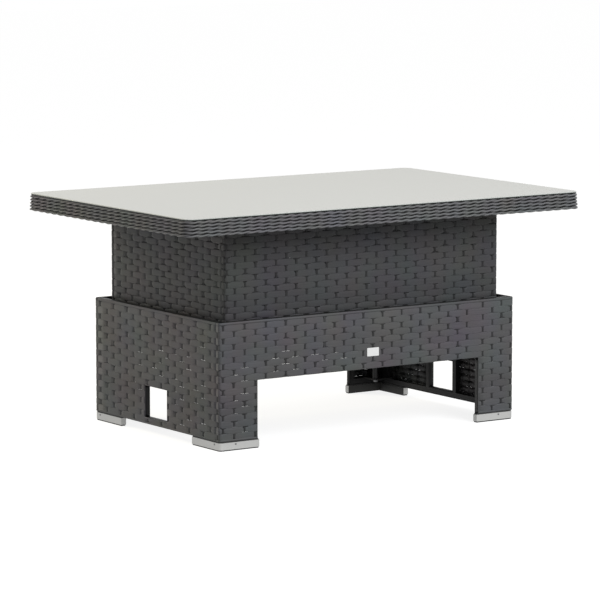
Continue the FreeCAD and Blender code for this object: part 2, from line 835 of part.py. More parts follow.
def casing_glides():
    """Nylon blocks on the corner posts, near the casing's mouth, that guide the box."""
    high = casing_top - weave - tube
    zs = (high - glide_pad_height, high)
    pads = []
    for name, sx, sy in corners:
        post_x = half_casing_x - weave - corner_post_width
        pads.append(block((sx * post_x, sx * (half_box_x - corner_radius)),
                          (sy * (half_box_y + slide_gap), sy * (half_casing_y - wall)), zs))
        near_y = half_box_y - corner_radius
        pads.append(block((sx * (half_box_x + slide_gap), sx * (half_casing_x - wall)),
                          (sy * (near_y - casing_glide_depth), sy * near_y), zs))
    return Part.Compound(pads)


def badge_plate():
    """Small bare metal plate on the front apron."""
    face = -half_casing_y
    xs = (badge_x - badge_width / 2, badge_x + badge_width / 2)
    zs = (badge_z - badge_height / 2, badge_z + badge_height / 2)
    solid = block(xs, (face, face - badge_thickness), zs)
    places = [Vector(x, face, z) for x in xs for z in zs]
    return round_edges(solid, badge_radius, Vector(0, 1, 0), places)


def build():
    os.makedirs("parts", exist_ok=True)
    for name, side in (("front", -1), ("back", 1)):
        export("base_weave_" + name, casing_long_side(side))
        export("box_weave_" + name, box_long_side(side))
    for name, side in (("left", -1), ("right", 1)):
        export("base_weave_" + name, casing_end_side(side))
        export("box_weave_" + name, box_end_side(side))
        export("lever_bracket_" + name, lever_bracket(side))
        export("lever_pin_" + name, lever_pin(side))
        export("release_lever_" + name, release_lever(side))
        export("lever_grip_" + name, lever_grip(side))
    for name, sx, sy in corners:
        export("foot_band_" + name, foot_band(sx, sy))
        export("foot_block_" + name, foot_block(sx, sy))
        export("spring_bracket_" + name, spring_bracket(sx, sy))
        export("spring_cylinder_" + name, spring_cylinder(sx, sy))
        export("spring_rod_" + name, spring_rod(sx, sy))
        export("release_pin_" + name, release_pin(sx, sy))
    export("base_frame", base_frame())
    export("box_frame", box_frame())
    export("table_frame", table_frame())
    export("glass_top", glass_top())
    export("glass_pads", glass_pads())
    export("rim_weave", rim_weave())
    export("foot_screws", foot_screws())
    export("bracket_screws", bracket_screws())
    export("spring_nuts", spring_nuts())
    export("rod_nuts", rod_nuts())
    export("frame_bolts", frame_bolts())
    export("lever_screws", lever_screws())
    export("box_glides", box_glides())
    export("casing_glides", casing_glides())
    export("badge_plate", badge_plate())


build()
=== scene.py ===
import math
import random

import bmesh
import bpy
import numpy as np
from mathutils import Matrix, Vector


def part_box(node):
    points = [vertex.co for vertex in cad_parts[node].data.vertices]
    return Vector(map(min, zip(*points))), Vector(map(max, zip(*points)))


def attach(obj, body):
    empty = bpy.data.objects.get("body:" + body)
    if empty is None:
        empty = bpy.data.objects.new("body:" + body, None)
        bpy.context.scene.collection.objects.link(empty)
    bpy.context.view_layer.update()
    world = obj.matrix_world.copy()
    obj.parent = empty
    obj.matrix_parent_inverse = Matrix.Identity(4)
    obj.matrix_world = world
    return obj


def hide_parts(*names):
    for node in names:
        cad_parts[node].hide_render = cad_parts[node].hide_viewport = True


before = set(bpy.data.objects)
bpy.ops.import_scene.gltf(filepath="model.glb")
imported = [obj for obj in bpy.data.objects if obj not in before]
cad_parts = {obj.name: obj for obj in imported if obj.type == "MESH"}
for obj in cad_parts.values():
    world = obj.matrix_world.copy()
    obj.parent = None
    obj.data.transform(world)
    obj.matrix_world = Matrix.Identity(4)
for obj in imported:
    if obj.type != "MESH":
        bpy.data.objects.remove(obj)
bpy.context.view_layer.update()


# Camera
# A long lens stands well back at the left front corner of the table and looks slightly down, so
# that upright edges stay upright. Its place was worked out from the corners of the real table.
camera_place = Vector((-6.2446, -9.2368, 1.8423))
camera_yaw = 0.97748
camera_dip = 0.13191
lens_length = 224.25
sensor_size = 36.0
far_limit = 100.0

camera_data = bpy.data.cameras.new("camera")
camera_data.lens = lens_length
camera_data.sensor_width = sensor_size
camera_data.clip_end = far_limit
camera = bpy.data.objects.new("camera", camera_data)
look = Vector((math.cos(camera_dip) * math.cos(camera_yaw),
               math.cos(camera_dip) * math.sin(camera_yaw),
               -math.sin(camera_dip)))
camera.location = camera_place
camera.rotation_euler = look.to_track_quat("-Z", "Y").to_euler()
bpy.context.scene.collection.objects.link(camera)
bpy.context.scene.camera = camera


# Studio light
# A white room lights the table evenly. A warm lamp behind its left end grazes the weave there, and
# a larger neutral one fills the front. The view is the plain one, with no look applied.
bpy.context.scene.view_settings.view_transform = "Standard"
white = (1.0, 1.0, 1.0, 1.0)
room_light = 0.42
seen_light = 1.0
key_place = (-2.3, 4.1, 2.4)
key_power = 146.0
key_size = 1.5
key_colour = (1.0, 0.91, 0.66)
fill_place = (0.6, -4.4, 3.2)
fill_power = 175.0
fill_size = 2.6
fill_colour = (0.965, 0.98, 1.0)
lamp_target = Vector((0.0, 0.0, 0.4))


def seen_rays(nodes, links):
    """Adds nodes that give 1 for what is seen, straight, in gloss or through glass, and else 0."""
    ray = nodes.new("ShaderNodeLightPath")
    seen = ray.outputs["Is Camera Ray"]
    for kind in ("Is Glossy Ray", "Is Transmission Ray"):
        either = nodes.new("ShaderNodeMath")
        either.operation = "MAXIMUM"
        links.new(seen, either.inputs[0])
        links.new(ray.outputs[kind], either.inputs[1])
        seen = either.outputs[0]
    return seen


def soft_lamp(name, place, size, power, colour, shine):
    """Square lamp aimed at the middle of the table. shine says if gloss mirrors it."""
    lamp_data = bpy.data.lights.new(name, "AREA")
    lamp_data.energy = power
    lamp_data.color = colour
    lamp_data.size = size
    lamp = bpy.data.objects.new(name, lamp_data)
    lamp.location = place
    lamp.visible_glossy = shine
    lamp.rotation_euler = (lamp_target - Vector(place)).to_track_quat("-Z", "Y").to_euler()
    bpy.context.scene.collection.objects.link(lamp)


world = bpy.data.worlds.new("white_room")
bpy.context.scene.world = world
world.use_nodes = True
world_nodes = world.node_tree.nodes
world_links = world.node_tree.links
world_nodes.clear()
room_out = world_nodes.new("ShaderNodeOutputWorld")
room_mix = world_nodes.new("ShaderNodeMixShader")
world_links.new(seen_rays(world_nodes, world_links), room_mix.inputs[0])
for glow_input, glow_strength in ((1, room_light), (2, seen_light)):
    glow = world_nodes.new("ShaderNodeBackground")
    glow.inputs["Color"].default_value = white
    glow.inputs["Strength"].default_value = glow_strength
    world_links.new(glow.outputs[0], room_mix.inputs[glow_input])
world_links.new(room_mix.outputs[0], room_out.inputs["Surface"])
soft_lamp("key_lamp", key_place, key_size, key_power, key_colour, False)
soft_lamp("fill_lamp", fill_place, fill_size, fill_power, fill_colour, True)


# Floor
# The table stands on a seamless white floor, which keeps its soft shadow. The floor adds white of
# its own to what the camera, metal and glass see, and lights nothing by it.
floor_size = 40.0
floor_white = 0.32
floor_glow = 0.86

floor_mesh = bpy.data.meshes.new("floor")
half = floor_size / 2
floor_corners = [(-half, -half, 0.0), (half, -half, 0.0), (half, half, 0.0), (-half, half, 0.0)]
floor_mesh.from_pydata(floor_corners, [], [(0, 1, 2, 3)])
floor = bpy.data.objects.new("floor", floor_mesh)
bpy.context.scene.collection.objects.link(floor)
floor_paint = bpy.data.materials.new("floor_white")
floor_paint.use_nodes = True
floor_nodes = floor_paint.node_tree.nodes
floor_links = floor_paint.node_tree.links
floor_nodes.clear()
floor_out = floor_nodes.new("ShaderNodeOutputMaterial")
floor_matt = floor_nodes.new("ShaderNodeBsdfDiffuse")
floor_matt.inputs["Color"].default_value = (floor_white, floor_white, floor_white, 1.0)
floor_shine = floor_nodes.new("ShaderNodeEmission")
floor_part = floor_nodes.new("ShaderNodeMath")
floor_part.operation = "MULTIPLY"
floor_part.inputs[1].default_value = floor_glow
floor_sum = floor_nodes.new("ShaderNodeAddShader")
floor_links.new(seen_rays(floor_nodes, floor_links), floor_part.inputs[0])
floor_links.new(floor_part.outputs[0], floor_shine.inputs["Strength"])
floor_links.new(floor_matt.outputs[0], floor_sum.inputs[0])
floor_links.new(floor_shine.outputs[0], floor_sum.inputs[1])
floor_links.new(floor_sum.outputs[0], floor_out.inputs["Surface"])
floor.data.materials.append(floor_paint)


# Casing weave
# The outer casing is a plain weave of flat grey polyethylene strands over a welded frame. Broad
# level strands run right round the corners, and narrow upright ones cross them and turn in over
# the frame at the edges. Folded strips finish the rims and line the arches and hand holes.
side_names = ("front", "right", "back", "left")
hairline = 0.0001


def cad_box(node):
    """Lowest and highest corner of a CAD node, to a tenth of a millimetre."""
    return [[round(value, 4) for value in corner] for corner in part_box(node)]


def woven_box(front_node, corner, top_strip, row_pitch, first_under, long_columns, end_columns):
    """Sizes of a woven box whose front wall is the given CAD node.

    The top strip is the height of the fold over the top row. A group of columns is its distance
    from the corner, its pitch and its count. first_under is 0 where even uprights cover the top
    row, and 1 where odd ones do."""
    low, high = cad_box(front_node)
    return {"half_x": high[0], "half_y": -low[1], "corner": corner, "low": low[2], "high": high[2],
            "row_top": round(high[2] - top_strip, 4), "row_pitch": row_pitch,
            "first_under": first_under, "long_columns": long_columns, "end_columns": end_columns}


casing = woven_box(
    "base_weave_front", corner=0.008, top_strip=0.008, row_pitch=0.0186, first_under=0,
    long_columns=((0.0128, 0.0370, 4), (0.1600, 0.0343, 22), (0.9396, 0.0347, 4)),
    end_columns=((0.0308, 0.0382, 18),))
wall_depth = round(casing["half_y"] + cad_box("base_weave_front")[1][1], 4)
# Openings: half width, lower and upper level
arch = (0.396, 0.0, 0.198)
hand_hole = (0.0605, 0.047, 0.141)
# Level strands, which bow outward between their crossings
level_thickness = 0.0012
level_crown = 0.00035
row_groove = 0.0001
tongue = 0.0020
smallest_strip = 0.004
bow_depth = 0.0008
bow_reach = 0.018
level_profile = ((-0.985, 0, 0.06), (-0.94, 0, 0.0), (-0.5, 0, 0.0), (0.5, 0, 0.0), (0.94, 0, 0.0),
                 (0.985, 0, 0.06), (1.0, 0, 0.4), (1.0, 1, 0.7), (1.0, 1, 1.0), (-1.0, -1, 1.0),
                 (-1.0, -1, 0.7), (-1.0, 0, 0.4))
# Crossings: a level strand dives behind an upright one, and its edges sink or part
dive_depth = 0.0025
dive_run = 0.0050
dive_width_range = (0.0002, 0.0012)
dive_offsets = (0.0, 0.0010, 0.0020, 0.0030, 0.0040, 0.0052, 0.0064, 0.0080, 0.0110, 0.0145, 0.0180)
sunk_edge_range = (0.0003, 0.0018)
sunk_reach_range = (0.006, 0.014)
sunk_groove = 0.0018
low_edge_share = 0.25
high_edge_share = 0.65
narrow_range = (0.0021, 0.0024)
narrow_reach = 0.016
narrow_share = 0.55
reach_hold = 0.85
# Upright strands
upright_width = 0.0052
upright_thickness = 0.001
upright_crown = 0.0002
upright_depth = 0.00136
upright_sway = 0.00016
upright_wobble = 0.0009
upright_tuck = 0.0003
inner_turn = 0.014
neighbour_reach = 0.05
upright_profile = ((-0.95, 0, 0.1), (-0.7, 0, 0.0), (0.7, 0, 0.0), (0.95, 0, 0.1),
                   (1.0, 0, 0.5), (0.9, 0, 1.0), (-0.9, 0, 1.0), (-1.0, 0, 0.5))
# Folded strips
edge_radius = 0.0028
rolled_radius = 0.0038
low_lip = 0.0062
opening_lip = 0.0034
opening_ring = 0.0004
fold_angles = (0, 22.5, 45, 67.5, 90)
lining_thickness = 0.0013
lining_round = 0.3
lining_belly = 1.2
lining_rings = 12
corner_rings = 7
edge_rings = 40
# Starting numbers of the random draws
crossing_seed = 977
row_seed = 500
casing_seed = 20


def new_basket():
    """Empty store for the strands that make one piece."""
    return {"points": [], "faces": [], "tone": [], "along": [], "across": [], "sink": [], "count": 0}


def store(basket, points, faces, tone, along, across, sink):
    """Keeps one strand as rings of points, with what its material reads at each point."""
    basket["points"].append(points.reshape(-1, 3))
    basket["faces"].extend(faces)
    for key, values in (("tone", tone), ("along", along), ("across", across), ("sink", sink)):
        basket[key].append(np.broadcast_to(values, points.shape[:2]).reshape(-1))
    basket["count"] += points.shape[0] * points.shape[1]


def sweep(basket, line, side_way, depth_way, section_side, section_depth, tone, sink=0.0):
    """Adds a closed strand: its section is set out from each point of the line along two ways.

    sink is how deep the line itself lies below the face of the weave."""
    rings = len(line)
    sides = section_side.shape[-1]
    section_side = np.broadcast_to(section_side, (rings, sides))
    section_depth = np.broadcast_to(section_depth, (rings, sides))
    points = (line[:, None, :] + side_way[:, None, :] * section_side[:, :, None]
              - depth_way[:, None, :] * section_depth[:, :, None])
    steps = np.linalg.norm(np.diff(line, axis=0), axis=1)
    along = np.concatenate([[0.0], np.cumsum(steps)])
    index = basket["count"] + np.arange(rings * sides).reshape(rings, sides)
    ahead = np.roll(index, -1, axis=1)
    quads = np.stack([index[:-1], ahead[:-1], ahead[1:], index[1:]], axis=-1).reshape(-1, 4)
    faces = quads.tolist() + [index[0][::-1].tolist(), index[-1].tolist()]
    depth = section_depth + np.broadcast_to(sink, rings)[:, None]
    store(basket, points, faces, tone, along[:, None], section_side, depth)


def lay_strand(basket, line, out, wide, low, high, profile, thickness, crown, tone, sunk=(0.0, 0.0),
               tongues=(0.0, 0.0), sink=0.0):
    """Adds a flat strand whose face follows the line, between low and high across its width.

    Its lower and upper edge sink by sunk, and tongues reach behind the strands below and above."""
    rings = len(line)
    low, high, low_sunk, high_sunk, low_tongue, high_tongue = (
        np.broadcast_to(values, rings)[:, None] for values in (low, high, *sunk, *tongues))
    share, reach, deep = np.array(profile, float).T[:, None, :]
    across = (low + high) / 2 + (high - low) / 2 * share
    across = across + np.where(reach > 0, high_tongue, 0.0) - np.where(reach < 0, low_tongue, 0.0)
    depth = crown * share ** 2 + thickness * deep
    depth = depth + high_sunk * np.clip(share, 0.0, 1.0) ** 2 + low_sunk * np.clip(-share, 0.0, 1.0) ** 2
    sweep(basket, line, wide, out, across, depth, tone, sink)


def finish_basket(basket, name, body, material, node):
    """Turns the stored strands into one smooth piece that rides on a body and replaces a node."""
    mesh = bpy.data.meshes.new(name)
    mesh.from_pydata(np.concatenate(basket["points"]), [], basket["faces"])
    for key in ("tone", "along", "across", "sink"):
        layer = mesh.attributes.new("strand_" + key, "FLOAT", "POINT")
        layer.data.foreach_set("value", np.concatenate(basket[key]).astype(np.float32))
    outward = bmesh.new()
    outward.from_mesh(mesh)
    bmesh.ops.recalc_face_normals(outward, faces=outward.faces)
    outward.to_mesh(mesh)
    outward.free()
    mesh.polygons.foreach_set("use_smooth", [True] * len(mesh.polygons))
    mesh.materials.append(material)
    piece = bpy.data.objects.new(name, mesh)
    bpy.context.scene.collection.objects.link(piece)
    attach(piece, body)
    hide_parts(node)


def side_starts(half_x, half_y, radius):
    """Distances round the loop at which each side's straight stretch starts, and their lengths."""
    run_x = 2 * (half_x - radius)
    run_y = 2 * (half_y - radius)
    turn = radius * math.pi / 2
    starts = [0.0, run_x + turn, run_x + run_y + 2 * turn, 2 * run_x + run_y + 3 * turn]
    return starts, run_x, run_y, turn


def loop_point(half_x, half_y, radius, s):
    """Points and outward directions at distances s round a rectangle with round corners.

    The distances start at the left end of the front and run to the right along it."""
    starts, run_x, run_y, turn = side_starts(half_x, half_y, radius)
    s = np.mod(np.asarray(s, float), 2 * (run_x + run_y) + 4 * turn)
    point = np.zeros(s.shape + (2,))
    out = np.zeros(s.shape + (2,))
    sides = (((-1, -1), 0.0, run_x), ((1, -1), 90.0, run_y),
             ((1, 1), 180.0, run_x), ((-1, 1), 270.0, run_y))
    for begin, ((sx, sy), heading, run) in zip(starts, sides):
        angle = math.radians(heading)
        forward = np.array([math.cos(angle), math.sin(angle)])
        right = np.array([math.sin(angle), -math.cos(angle)])
        centre = np.array([sx * (half_x - radius), sy * (half_y - radius)])
        here = (s >= begin) & (s <= begin + run)
        point[here] = centre + right * radius + (s[here] - begin)[:, None] * forward
        out[here] = right
        here = (s > begin + run) & (s < begin + run + turn)
        swing = (s[here] - begin - run)[:, None] / radius
        bend = right * np.cos(swing) + forward * np.sin(swing)
        point[here] = centre + forward * run + radius * bend
        out[here] = bend
    return point, out


def raised(plan, level=0.0):
    """Points or directions of the plan, brought to a level."""
    return np.column_stack([plan, np.broadcast_to(level, len(plan))])


def upward(count):
    """The upward direction, once for each ring."""
    return np.tile([0.0, 0.0, 1.0], (count, 1))


def smooth_step(low, high, value):
    """Runs smoothly from 0 at the low value to 1 at the high one."""
    t = np.clip((value - low) / (high - low), 0.0, 1.0)
    return t * t * (3 - 2 * t)


def column_places(shape):
    """Distances round the loop of all upright strands, in order."""
    starts = side_starts(shape["half_x"], shape["half_y"], shape["corner"])[0]
    columns = []
    for side, start in enumerate(starts):
        for first, pitch, count in shape["end_columns" if side % 2 else "long_columns"]:
            columns.extend(start - shape["corner"] + first + pitch * np.arange(count))
    return np.array(columns)


def side_layout(shape, side, high, opening):
    """Where one side of a box lies on the loop, and the upright strands on and near it.

    Side 0 is the front, then come right, back and left. The front and back take in the corners."""
    box = (shape["half_x"], shape["half_y"], shape["corner"])
    starts, run_x, run_y, turn = side_starts(*box)
    columns = column_places(shape)
    total = 2 * (run_x + run_y) + 4 * turn
    run = run_y if side % 2 else run_x
    begin = starts[side]
    seam = wall_depth - shape["corner"]
    first = begin + seam if side % 2 else begin - turn - seam
    last = begin + run - seam if side % 2 else begin + run + turn + seam
    places = np.concatenate([columns - total, columns, columns + total])
    near = (places > first - neighbour_reach) & (places < last + neighbour_reach)
    return {"shape": shape, "box": box, "begin": begin, "run": run, "turn": turn, "first": first,
            "last": last, "middle": begin + run / 2, "low": shape["low"], "high": high,
            "opening": opening, "places": places[near],
            "numbers": np.tile(np.arange(len(columns)), 3)[near]}


def crossing(number, row):
    """How one crossing differs from its neighbours.

    These are its side shift, its half width, how far the sunk edges of the level strand reach to
    the left and right, how deep the lower and upper edge sink, and how far it lifts off the next."""
    chance = random.Random(int(number) * crossing_seed + int(row))
    shift, width = chance.uniform(-upright_wobble, upright_wobble), chance.uniform(*dive_width_range)
    left, right = chance.uniform(*sunk_reach_range), chance.uniform(*sunk_reach_range)
    edges = [chance.uniform(*sunk_edge_range), chance.uniform(*sunk_edge_range)]
    narrow = chance.uniform(*narrow_range) if chance.random() < narrow_share else 0.0
    if chance.random() > low_edge_share:
        edges[0] = 0.0
    if chance.random() > high_edge_share:
        edges[1] = 0.0
    return shift, width, left, right, edges[0], edges[1], narrow


def strip_left(z0, z1, opening):
    """What an opening leaves of a row between two levels, or None where it takes all of it."""
    open_low, open_high = opening[1:]
    if z1 <= open_low or z0 >= open_high:
        return (z0, open_low) if 0 < open_low - z1 < smallest_strip else (z0, z1)
    if z1 - open_high >= smallest_strip:
        return open_high, z1
    if open_low - z0 >= smallest_strip:
        return z0, open_low
    return None


def strand_stops(lay, under, left, right, span):
    """Distances at which a level strand needs a ring of points."""
    stops = [np.array(span)]
    for offset in dive_offsets:
        stops += [under - offset, under + offset]
    for share in (reach_hold, 1.0):
        stops += [under - left * share, under + right * share]
        stops += [under - narrow_reach * share, under + narrow_reach * share]
    for corner in (lay["begin"] - lay["turn"], lay["begin"] + lay["run"]):
        stops.append(np.linspace(corner, corner + lay["turn"], corner_rings))
    if lay["opening"] is not None:
        for edge in (lay["middle"] - lay["opening"][0], lay["middle"] + lay["opening"][0]):
            stops.append(np.array([edge - opening_ring, edge + opening_ring]))
    s = np.unique(np.round(np.clip(np.concatenate(stops), *span), 5))
    s[0], s[-1] = span
    return s


def level_waves(lay, row, span):
    """Rings of a level strand, and how it dives, sinks and thins near its crossings.

    Gives the distances of the rings, the depth of the face, how deep the lower and upper edge
    sink, by how much each edge draws in, and how far the lower one lifts off the next strand."""
    crossed = (lay["numbers"] + row) % 2 == lay["shape"]["first_under"]
    traits = np.array([crossing(number, row) for number in lay["numbers"][crossed]])
    under = lay["places"][crossed] + traits[:, 0]
    s = strand_stops(lay, under, traits[:, 2], traits[:, 3], span)
    away = s[:, None] - under[None, :]
    nearest = np.abs(away).argmin(axis=1)
    away = away[np.arange(len(s)), nearest]
    gap = np.abs(away)
    width, left, right, low_sunk, high_sunk, narrow = traits[nearest, 1:].T
    reach = np.where(away < 0, left, right)
    near = 1 - smooth_step(reach * reach_hold, reach, gap)
    lifted = narrow * (1 - smooth_step(narrow_reach * reach_hold, narrow_reach, gap))
    sunk = (low_sunk * near, high_sunk * near)
    low_draw, high_draw = (sunk_groove * near * edge / sunk_edge_range[1]
                           for edge in (low_sunk, high_sunk))
    bow = bow_depth * (0.5 + 0.5 * np.cos(math.pi * np.clip(gap / bow_reach, 0.0, 1.0)))
    depth = bow + (dive_depth - bow) * (1 - smooth_step(width, width + dive_run, gap))
    return s, depth, sunk, (np.maximum(low_draw, lifted), high_draw), lifted


def level_strand(basket, lay, row, span, z0, z1, tone):
    """Adds a level strand between two distances, which dives behind every second upright one."""
    s, depth, sunk, (low_draw, high_draw), lifted = level_waves(lay, row, span)
    point, out = loop_point(*lay["box"], s)
    lows = z0 + row_groove / 2 + low_draw
    highs = z1 - row_groove / 2 - high_draw
    low_tongue = np.where(lifted > tongue, 0.0, tongue if z0 > lay["low"] + smallest_strip else 0.0)
    high_tongue = np.full(len(s), tongue if z1 < lay["high"] - row_groove else 0.0)
    held = strip_left(z0, z1, lay["opening"]) if lay["opening"] is not None else None
    if held is not None:
        half_width, open_low, open_high = lay["opening"]
        within = np.abs(s - lay["middle"]) < half_width
        lows[within] = held[0] + row_groove / 2 + low_draw[within]
        highs[within] = held[1] - row_groove / 2 - high_draw[within]
        if 0 <= held[0] - open_high < smallest_strip:
            low_tongue[within] = 0.0
        if 0 <= open_low - held[1] < smallest_strip:
            high_tongue[within] = 0.0
    # The face's depth goes along as the sink, which the material turns into painted shade.
    lay_strand(basket, raised(point - out * depth[:, None]), raised(out), upward(len(s)), lows, highs,
               level_profile, level_thickness, level_crown, tone, sunk, (low_tongue, high_tongue), depth)


def upright_route(lay, number, z0, z1):
    """Depths, levels and outward ways of an upright strand from end to end, and its side shifts."""
    shape = lay["shape"]
    steps = max(3, int(round((z1 - z0) / shape["row_pitch"] * 2)))
    z = np.linspace(z0 + edge_radius, z1 - edge_radius, steps + 1)
    rows_down = (shape["row_top"] - z) / shape["row_pitch"] - 0.5
    depth = upright_depth - upright_sway * np.cos(np.pi * (rows_down + number + shape["first_under"]))
    levels = np.arange(-1, int(rows_down.max()) + 3)
    shift = np.interp(rows_down, levels, [crossing(number, level)[0] for level in levels])
    shallow = upright_depth + edge_radius
    deep = wall_depth - edge_radius
    route = [(wall_depth, z0 + inner_turn, -1, 0), (wall_depth, z0 + edge_radius, -1, 0),
             (deep, z0 + upright_tuck, 0, -1), (shallow, z0 + upright_tuck, 0, -1)]
    route += [(d, level, 1, 0) for d, level in zip(depth, z)]
    route += [(shallow, z1 - upright_tuck, 0, 1), (deep, z1 - upright_tuck, 0, 1),
              (wall_depth, z1 - edge_radius, -1, 0), (wall_depth, z1 - inner_turn, -1, 0)]
    return route, np.concatenate([np.full(4, shift[0]), shift, np.full(4, shift[-1])])


def upright_strand(basket, lay, column, number, z0, z1, tone):
    """Adds an upright strand from its lower to its upper edge, turned in over both."""
    point, out = (plan[0] for plan in loop_point(*lay["box"], np.array([column])))
    sideways = np.array([-out[1], out[0], 0.0])
    route, shifts = upright_route(lay, number, z0, z1)
    line = np.array([np.array([*(point - out * d), level]) + sideways * shift
                     for (d, level, outward, up), shift in zip(route, shifts)])
    outs = np.array([(out[0] * outward, out[1] * outward, up) for d, level, outward, up in route])
    half_width = upright_width / 2
    # A tone below 0 gives the upright strand its painted shade.
    lay_strand(basket, line, outs, np.tile(sideways, (len(line), 1)), -half_width, half_width,
               upright_profile, upright_thickness, upright_crown, tone - 1.0)


def edge_strand(basket, lay, level, up, s0, s1, lip, radius, tone):
    """Adds a strip folded over an edge, with a lip of the given height down the outer face."""
    begin, run, turn = lay["begin"], lay["run"], lay["turn"]
    stops = np.concatenate([np.linspace(begin, begin + run, edge_rings),
                            np.linspace(begin - turn, begin, corner_rings),
                            np.linspace(begin + run, begin + run + turn, corner_rings), [s0, s1]])
    s = np.unique(np.round(np.clip(stops, s0, s1), 5))
    s[0], s[-1] = s0, s1
    point, out = loop_point(*lay["box"], s)
    t = level_thickness
    folds = [math.radians(angle) for angle in fold_angles]
    outer = [(-lip, 0.0)]
    outer += [(radius * math.sin(a) - radius, radius - radius * math.cos(a)) for a in folds]
    inner = [(-t, wall_depth), (-t, radius), (-radius, t), (-lip, t)]
    section = np.array(outer + [(0.0, wall_depth)] + inner)
    in_turn = ((s > begin - turn + hairline) & (s < begin - hairline)) | (
        (s > begin + run + hairline) & (s < begin + run + turn - hairline))
    shallower = np.minimum(section[:, 1], lay["box"][2] - hairline)
    depths = np.where(in_turn[:, None], shallower, section[:, 1])
    sweep(basket, raised(point, level), upward(len(s)) * up, raised(out), section[None, :, 0], depths,
          tone)


def lining_strand(basket, lay, edge, away, z0, z1, tone):
    """Adds the upright strip that lines one side of an opening. away is 1 or -1, into the wall."""
    z = np.linspace(z0, z1, lining_rings)
    point, out = (np.repeat(plan, len(z), axis=0) for plan in loop_point(*lay["box"], np.array([edge])))
    sideways = np.column_stack([-out[:, 1], out[:, 0]]) * away
    t = lining_thickness
    section = np.array([(0.0, wall_depth), (0.0, t), (lining_round * t, lining_round * t), (t, hairline),
                        (lining_belly * t, 4 * hairline), (t, lining_belly * t), (t, wall_depth)])
    sweep(basket, raised(point, z), raised(sideways), raised(out), section[None, :, 0],
          section[None, :, 1], tone)


def weave_levels(basket, lay):
    """Adds all level strands of a side, from the top row down."""
    shape, opening = lay["shape"], lay["opening"]
    row = 0
    z1 = shape["row_top"]
    while z1 > lay["low"] + smallest_strip:
        z0 = max(z1 - shape["row_pitch"], lay["low"])
        top = min(z1, lay["high"])
        tone = random.Random(row_seed + row).random()
        if top - z0 > smallest_strip:
            spans = [(lay["first"], lay["last"])]
            if opening is not None and strip_left(z0, top, opening) is None:
                reach = opening[0] + lining_thickness
                spans = [(lay["first"], lay["middle"] - reach), (lay["middle"] + reach, lay["last"])]
            for span in spans:
                level_strand(basket, lay, row, span, z0, top, tone)
        z1 -= shape["row_pitch"]
        row += 1


def weave_uprights(basket, lay, rng):
    """Adds all upright strands of a side, and parts them where an opening is."""
    opening = lay["opening"]
    for column, number in zip(lay["places"], lay["numbers"]):
        if column < lay["first"] or column > lay["last"]:
            continue
        tone = rng.random()
        if opening is not None and abs(column - lay["middle"]) < opening[0] + upright_width / 2:
            upright_strand(basket, lay, column, number, opening[2], lay["high"], tone)
            if opening[1] - lay["low"] > smallest_strip:
                upright_strand(basket, lay, column, number, lay["low"], opening[1], tone)
        else:
            upright_strand(basket, lay, column, number, lay["low"], lay["high"], tone)


def weave_edges(basket, lay, rng):
    """Adds the folded strips along the edges of a side and the linings of its opening."""
    first, last, middle = lay["first"], lay["last"], lay["middle"]
    low_strips = [(lay["low"], -1, first, last, low_lip)]
    top_lip = max(lay["high"] - lay["shape"]["row_top"], rolled_radius + hairline)
    edge_strand(basket, lay, lay["high"], 1, first, last, top_lip, rolled_radius, rng.random())
    if lay["opening"] is not None:
        span, open_low, open_high = lay["opening"]
        start, stop = middle - span, middle + span
        edge_strand(basket, lay, open_high, -1, start, stop, opening_lip, edge_radius, rng.random())
        sill = max(open_low, lay["low"])
        for away, edge in ((-1, start), (1, stop)):
            lining_strand(basket, lay, edge, away, sill, open_high, rng.random())
        if open_low > lay["low"]:
            low_strips.append((open_low, 1, start, stop, opening_lip))
        else:
            low_strips = [(lay["low"], -1, first, start, low_lip), (lay["low"], -1, stop, last, low_lip)]
    for level, up, s0, s1, lip in low_strips:
        edge_strand(basket, lay, level, up, s0, s1, lip, edge_radius, rng.random())


def weave_side(shape, side, high, opening, seed):
    """Weaves one side of a box up to a level and returns its strands."""
    rng = random.Random(seed + side)
    basket = new_basket()
    lay = side_layout(shape, side, high, opening)
    weave_levels(basket, lay)
    weave_uprights(basket, lay, rng)
    weave_edges(basket, lay, rng)
    return basket


def new_paint(name, roughness):
    """New material, with its nodes, its links and its shader."""
    paint = bpy.data.materials.new(name)
    paint.use_nodes = True
    shader = paint.node_tree.nodes["Principled BSDF"]
    shader.inputs["Roughness"].default_value = roughness
    return paint, paint.node_tree.nodes, paint.node_tree.links, shader


def read_point(nodes, key):
    """Socket with a value that the strands keep at each point."""
    stored = nodes.new("ShaderNodeAttribute")
    stored.attribute_name = "strand_" + key
    return stored.outputs["Fac"]


def object_place(nodes):
    """Socket with the place on the object, in metres."""
    return nodes.new("ShaderNodeTexCoord").outputs["Object"]


def stretched(nodes, links, place, scale):
    """The same place, scaled differently along each axis."""
    stretch = nodes.new("ShaderNodeMapping")
    stretch.inputs["Scale"].default_value = scale
    links.new(place, stretch.inputs["Vector"])
    return stretch.outputs[0]


def noise(nodes, links, place, scale, detail):
    """Adds a noise over a place."""
    cloud = nodes.new("ShaderNodeTexNoise")
    cloud.inputs["Scale"].default_value = scale
    cloud.inputs["Detail"].default_value = detail
    links.new(place, cloud.inputs["Vector"])
    return cloud


def mixed(nodes, links, blend, share, under, over):
    """Lays one colour over another."""
    mix = nodes.new("ShaderNodeMix")
    mix.data_type = "RGBA"
    mix.blend_type = blend
    mix.inputs["Factor"].default_value = share
    links.new(under, mix.inputs["A"])
    links.new(over, mix.inputs["B"])
    return mix.outputs["Result"]


def ranged(nodes, links, value, start, end, low=0.0, high=1.0):
    """Runs from start to end while the value goes from low to high."""
    span = nodes.new("ShaderNodeMapRange")
    span.inputs["From Min"].default_value = low
    span.inputs["From Max"].default_value = high
    span.inputs["To Min"].default_value = start
    span.inputs["To Max"].default_value = end
    links.new(value, span.inputs["Value"])
    return span.outputs[0]


